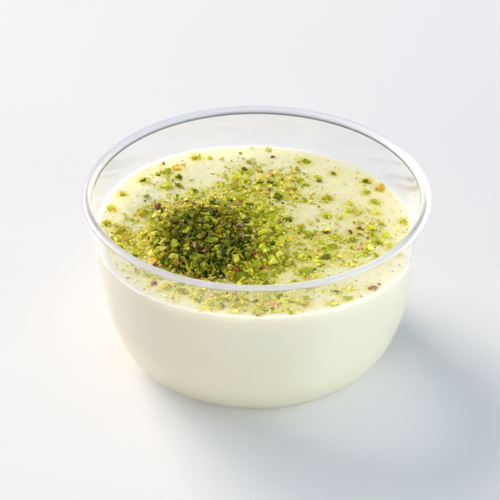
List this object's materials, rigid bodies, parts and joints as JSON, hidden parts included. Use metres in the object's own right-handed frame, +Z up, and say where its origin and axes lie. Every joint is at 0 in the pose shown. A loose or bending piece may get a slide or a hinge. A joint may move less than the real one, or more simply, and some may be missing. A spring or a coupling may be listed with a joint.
{
  "type": "rice pudding in a bowl",
  "caption": "Set rice pudding in its own clear moulded bowl, topped with chopped pistachio scattered over it and heaped left of the middle.",
  "frame": {"origin": "on the axis of the bowl, at the plane it stands on", "axes": "+Z up out of the bowl; +X to the right and -Y to the front, with the pistachio heap at -X -Y"},
  "size_m": [0.1, 0.1, 0.051],
  "materials": {
    "clear_plastic": "polished, clear",
    "milk_pudding": "moist, cream coloured",
    "pistachio": "cut nut, green"
  },
  "bodies": {
    "root": {"bowl": "clear_plastic", "pudding": "milk_pudding", "pistachio_heap": "pistachio"}
  },
  "joints": []
}
